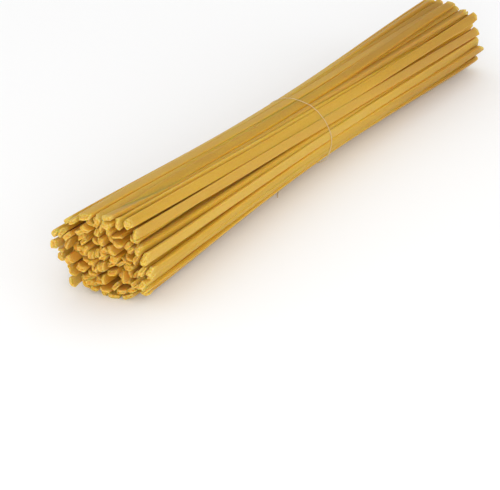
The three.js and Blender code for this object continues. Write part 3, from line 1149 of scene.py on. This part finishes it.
    def _values(self, points: Array, tubes: Array, along: Array) -> dict[str, Array]:
        """The numbers that the finish reads.

        Args:
            points: All points of the mesh.
            tubes: The tubes' points by strand, ring, side and axis.
            along: Distances of the rings from a strand's middle.

        Returns:
            One number for each point, by name.
        """
        count = self.form.strand_count
        end_distance = self.form.strand_length / 2 - np.abs(along)
        # Where the painted shade towards the slim end rises, from 0 to 1.
        slim = smooth_step(points[:, 0], *self.slim_shade_limits)

        def spread(draw: Draw) -> Array:
            """The strands' numbers, each given to all of its strand's points."""
            return np.repeat(jitter(count, draw), len(points) // count)

        def towards_end(length: float) -> Array:
            """A number that rises to 1 towards the cut ends, over a length."""
            rise = 1 - smooth_step(end_distance, 0.0, length)[:, None]
            cap = np.ones((count, len(self._layers()), self.sides))
            return self._arrange(np.broadcast_to(rise, tubes.shape[:3]), cap, cap)

        return {
            # The strand's own tone, less the painted shade towards the slim end.
            "tone": spread(Draw.TONE) - self.slim_end_painted_shade * slim,
            "rosy": np.maximum(0, spread(Draw.ROSY)),
            # The mask of the painted shade between the strands and in the cut ends.
            "depth": self._painted_shade_mask(tubes, end_distance),
            "flour": np.maximum(0, spread(Draw.FLOUR)) ** self.flour_power,
            "cut": towards_end(self.cut_length),
            "end": towards_end(self.end_shade_length),
        }

    def build(self) -> bpy.types.Object:
        """Builds the strands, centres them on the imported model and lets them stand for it.

        Returns:
            The strands' object.
        """
        mesh = self.mesh()
        low, high = (np.array(corner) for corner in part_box(self.node))
        self.offset = (low + high) / 2 - (mesh.points.min(0) + mesh.points.max(0)) / 2
        self.offset[2] = 0
        mesh.points += self.offset
        piece = mesh.build("linguine_strands", self.finish.material())
        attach(piece, "root")
        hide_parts(self.node)
        return piece


@dataclass
class Tie:
    """The thread round the waist: a loop of twisted plies, its knot and its two tails."""

    form: BundleForm
    settling: Settling
    finish: ThreadFinish
    offset: Array
    diameter: float = 0.36 * MM
    gap: float = 0.02 * MM
    plies: int = 3
    ply_place: float = 0.27
    ply_radius: float = 0.25
    ply_tip: float = 0.5
    pitch: float = 1.5 * MM
    sides: int = 8
    outline_sides: int = 24
    outline_squareness: float = 3.0
    touching_lines: int = 360
    least_cosine: float = 0.5
    loop_place: float = -1 * MM
    loop_points: int = 240
    loop_opening: float = 0.02
    lean_up: float = -0.11
    lean_across: float = -0.158
    slack: float = 0.8 * MM
    slack_angle: float = 3.95
    slack_spread: float = 0.35
    knot_angle: float = -1.6
    knot_size: float = 0.1875 * MM
    knot_squash: float = 0.8
    knot_points: int = 90
    knot_place: float = 0.35
    tail_length: float = 29.5 * MM
    tail_headings: Pair = (-0.1, 0.63)
    tail_points: int = 40
    short_tail_length: float = 8 * MM
    short_tail_heading: float = 2.7
    drop_share: float = 0.22
    table_gap: float = 0.02 * MM
    step: float = 0.14 * MM
    fewest_steps: int = 8
    node: str = "tie_thread"

    def _waist_outline(self) -> Array:
        """Points round every strand's section, a superellipse, where the loop's plane meets it.

        Returns:
            Places across and above the axis.
        """
        form = self.form
        across, through = superellipse(self.outline_sides, self.outline_squareness, 0.0)
        middle = self.settling.line(np.zeros(1))
        flat = directions(self.settling.angles)[:, None]
        upright = directions(self.settling.angles + math.pi / 2)[:, None]
        corners = middle + (across * form.strand_width / 2)[None, :, None] * flat
        return (corners + (through * form.strand_thickness / 2)[None, :, None] * upright).reshape(-1, 2)

    def _loop_radius(self, direction: Array) -> Array:
        """How far the tight loop lies from the axis.

        In one direction it is the least, over the lines that touch the strands, of a line's distance
        over the cosine of the angle between the direction and the line's normal.

        Args:
            direction: Angles from +Y towards +Z.

        Returns:
            The distance in each direction.
        """
        normals = 2 * np.pi * np.arange(self.touching_lines) / self.touching_lines
        distance = (self._waist_outline() @ directions(normals).T).max(0)
        cosine = np.cos(direction[:, None] - normals[None, :])
        reach = np.where(cosine > self.least_cosine, distance / np.maximum(cosine, TINY), np.inf)
        return reach.min(1)

    def _loop_point(self, direction: Array, outside: float) -> Array:
        """Points on the leaning loop.

        They lie at a distance outside the tight loop, and a little further out where the thread is
        slack: the slack times e to the minus square of the angle from its middle over its spread.

        Args:
            direction: Angles from +Y towards +Z.
            outside: The distance.

        Returns:
            The points.
        """
        turn = (direction - self.slack_angle + np.pi) % (2 * np.pi) - np.pi
        loose = self.slack * np.exp(-((turn / self.slack_spread) ** 2))
        radius = self._loop_radius(direction) + outside + loose
        y, z = radius * np.cos(direction), radius * np.sin(direction)
        x = self.loop_place + self.lean_up * z + self.lean_across * y
        return np.stack([x, y, z + self.form.axis_height(0.0) - self.form.rest_depth], -1)

    def _tail(self, knot: Array, length: float, headings: Pair) -> Array:
        """A tail that drops from the knot to the table and lies on it, its heading turning.

        Args:
            knot: The knot's middle.
            length: The tail's length.
            headings: The tail's first and last angle from -X towards -Y.

        Returns:
            Points along it.
        """
        share = np.linspace(0, 1, self.tail_points)
        heading = headings[0] + (headings[1] - headings[0]) * share
        walked = np.concatenate([np.zeros((1, 2)), np.cumsum(directions(heading[1:]), 0)])
        x, y = (knot[:2] - length / (self.tail_points - 1) * walked).T
        table = self.diameter / 2 + self.table_gap
        z = table + (knot[2] - table) * (1 - smooth_step(share, 0, self.drop_share))
        return np.stack([x, y, z], -1)

    def _knot(self, middle: Array) -> Array:
        """An overhand knot's line: a trefoil, one turn of sin t + 2 sin 2t, cos t - 2 cos 2t, sin 3t.

        Args:
            middle: The knot's middle.

        Returns:
            Points along it.
        """
        t = np.linspace(0, 2 * np.pi, self.knot_points)
        across, up = np.sin(t) + 2 * np.sin(2 * t), self.knot_squash * (np.cos(t) - 2 * np.cos(2 * t))
        return middle + self.knot_size * np.stack([-np.sin(3 * t), across, up], -1)

    def _even(self, line: Array) -> Array:
        """The line with its points spread evenly, about one step apart.

        Args:
            line: The line.

        Returns:
            The new points.
        """
        at = distances_along(line)
        wanted = np.linspace(0, at[-1], max(self.fewest_steps, int(at[-1] / self.step)))
        return np.stack([np.interp(wanted, at, line[:, axis]) for axis in range(3)], -1)

    def _plies(self, line: Array) -> Mesh:
        """Twists the plies round a line.

        Each ply is a round tube, pointed at its two ends. It runs round the line on a helix: the line,
        plus a share of the thread's diameter times the cosine and the sine of the ply's phase along
        two directions across the line. The tube's own points lie round it in the same way.

        Args:
            line: The thread's middle line.

        Returns:
            The plies.
        """
        line = self._even(line)
        tangent = np.gradient(line, axis=0)
        tangent /= np.linalg.norm(tangent, axis=1, keepdims=True)
        # The first direction is at right angles to the axis that the line runs along least.
        aside = np.cross(tangent, np.eye(3)[int(np.argmin(np.abs(tangent).max(0)))])
        aside /= np.linalg.norm(aside, axis=1, keepdims=True)
        third = np.cross(tangent, aside)
        at = distances_along(line)
        phase = 2 * np.pi * (at / self.pitch + np.arange(self.plies)[:, None] / self.plies)
        outward = np.cos(phase)[..., None] * aside + np.sin(phase)[..., None] * third
        middle = line + self.ply_place * self.diameter * outward
        angle = 2 * np.pi * np.arange(self.sides) / self.sides
        circle = np.cos(angle)[:, None] * aside[:, None] + np.sin(angle)[:, None] * third[:, None]
        radius = np.full((len(line), 1, 1), self.ply_radius * self.diameter)
        radius[[0, -1]] *= self.ply_tip
        rings = middle[:, :, None] + radius * circle
        points = np.concatenate([rings.reshape(self.plies, -1, 3), middle[:, [0, -1]]], 1)
        uv = np.stack(np.broadcast_arrays(angle, at[:, None] / MM), -1).reshape(-1, 2)
        uv = np.tile(np.concatenate([uv, np.zeros((2, 2))]), (self.plies, 1))
        return Mesh(points.reshape(-1, 3), *tube_faces(self.plies, len(line), self.sides), uv)

    def build(self) -> bpy.types.Object:
        """Builds the loop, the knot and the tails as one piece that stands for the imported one.

        Returns:
            The tie's object.
        """
        outside = self.gap + self.diameter / 2
        start = np.array([self.knot_angle])
        knot = self._loop_point(start, outside + self.knot_place * self.diameter)[0]
        opening = self.loop_opening
        around = self.knot_angle + np.linspace(opening, 2 * np.pi - opening, self.loop_points)
        lines = [
            self._loop_point(around, outside),
            self._knot(knot),
            self._tail(knot, self.tail_length, self.tail_headings),
            self._tail(knot, self.short_tail_length, (self.short_tail_heading,) * 2),
        ]
        parts = [self._plies(line) for line in lines]
        counts = np.cumsum([0] + [len(part.points) for part in parts])
        mesh = Mesh(
            np.concatenate([part.points for part in parts]) + self.offset,
            np.concatenate([part.quads + count for part, count in zip(parts, counts)]),
            np.concatenate([part.triangles + count for part, count in zip(parts, counts)]),
            np.concatenate([part.uv for part in parts]),
        )
        piece = mesh.build("tie_thread_plies", self.finish.material())
        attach(piece, "root")
        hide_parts(self.node)
        return piece


# Stage


@dataclass
class Viewpoint:
    """The camera, where the photograph was taken from, as seen from the bundle's middle."""

    azimuth: float = math.radians(-55.47)
    elevation: float = math.radians(28.37)
    distance: float = 975 * MM
    focal_pixels: float = 2257.0
    middle_pixel: Pair = (298.4, 130.2)
    sensor: float = 36.0
    aiming_steps: int = 20

    def build(self, middle: Vector) -> bpy.types.Object:
        """Makes the camera and turns it until the bundle's middle falls on its pixel.

        Args:
            middle: The bundle's middle.

        Returns:
            The camera.
        """
        data = bpy.data.cameras.new("camera")
        data.sensor_width = self.sensor
        data.lens = self.focal_pixels / PHOTO_WIDTH * self.sensor
        camera = add_object("camera", data)
        back = Vector((
            math.sin(self.azimuth) * math.cos(self.elevation),
            -math.cos(self.azimuth) * math.cos(self.elevation),
            math.sin(self.elevation),
        ))
        camera.location = middle + back * self.distance
        heading, pitch = self.azimuth, -self.elevation
        wanted_x = (self.middle_pixel[0] - PHOTO_WIDTH / 2) / self.focal_pixels
        wanted_y = (PHOTO_HEIGHT / 2 - self.middle_pixel[1]) / self.focal_pixels
        for _ in range(self.aiming_steps):
            turn = Matrix.Rotation(heading, 3, "Z") @ Matrix.Rotation(math.pi / 2 + pitch, 3, "X")
            seen = turn.transposed() @ (middle - camera.location)
            heading -= seen.x / -seen.z - wanted_x
            pitch += seen.y / -seen.z - wanted_y
        camera.rotation_euler = turn.to_euler()
        bpy.context.scene.camera = camera
        return camera


@dataclass
class Softbox:
    """A square area light aimed at the bundle."""

    name: str
    place: tuple[float, float, float]
    size: float
    power: float

    def build(self, target: Vector) -> bpy.types.Object:
        """Makes the light and turns it to the target.

        Args:
            target: What it is aimed at.

        Returns:
            The light.
        """
        data = bpy.data.lights.new(self.name, "AREA")
        data.shape = "SQUARE"
        data.size = self.size
        data.energy = self.power
        light = add_object(self.name, data)
        light.location = self.place
        light.rotation_euler = (target - light.location).to_track_quat("-Z", "Y").to_euler()
        return light


@dataclass
class Studio:
    """The floor, the light and the colour handling."""

    floor_finish: FloorFinish
    floor_size: float = 6.0
    world_colour: Colour = (1.0, 1.0, 1.0)
    world_strength: float = 0.94
    softboxes: tuple[Softbox, ...] = (
        Softbox("key", (-0.78, -0.55, 0.36), 0.5, 3.25),
        Softbox("fill", (0.30, -1.05, 0.30), 0.6, 1.3),
        Softbox("front", (-0.80, -0.25, 0.05), 0.3, 0.6),
    )

    def build(self, target: Vector) -> None:
        """Makes the floor, the lights and the world, and sets plain colour handling.

        Args:
            target: What the lights are aimed at.
        """
        half = self.floor_size / 2
        grid = np.array([[-half, -half, 0], [half, -half, 0], [half, half, 0], [-half, half, 0]])
        floor_mesh = Mesh(grid, np.array([[0, 1, 2, 3]]), np.zeros((0, 3), int), grid[:, :2])
        floor = floor_mesh.build("floor", self.floor_finish.material())
        for softbox in self.softboxes:
            softbox.build(target)
        world = bpy.data.worlds.new("studio")
        world.use_nodes = True
        background = world.node_tree.nodes["Background"]
        background.inputs["Color"].default_value = (*self.world_colour, 1.0)
        background.inputs["Strength"].default_value = self.world_strength
        bpy.context.scene.world = world
        bpy.context.scene.view_settings.view_transform = "Standard"
        bpy.context.scene.view_settings.look = "None"


def main() -> None:
    """Builds the bundle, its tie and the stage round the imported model."""
    logging.basicConfig(level=logging.INFO, format="%(name)s: %(message)s")
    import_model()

    form = BundleForm()
    settling = Settling(form)
    LOG.info("settled %d strands", form.strand_count)
    strands = Strands(form, settling, PastaFinish())
    piece = strands.build()
    waist = Vector(strands.offset) + Vector((0, 0, form.axis_height(0.0) - form.rest_depth))
    LOG.info("%s: %d faces", piece.name, len(piece.data.polygons))
    tie = Tie(form, settling, ThreadFinish(), strands.offset).build()
    LOG.info("%s: %d faces", tie.name, len(tie.data.polygons))
    Viewpoint().build(waist)
    Studio(FloorFinish()).build(waist)
    LOG.info("camera, floor and lights")


if __name__ == "__main__":
    main()
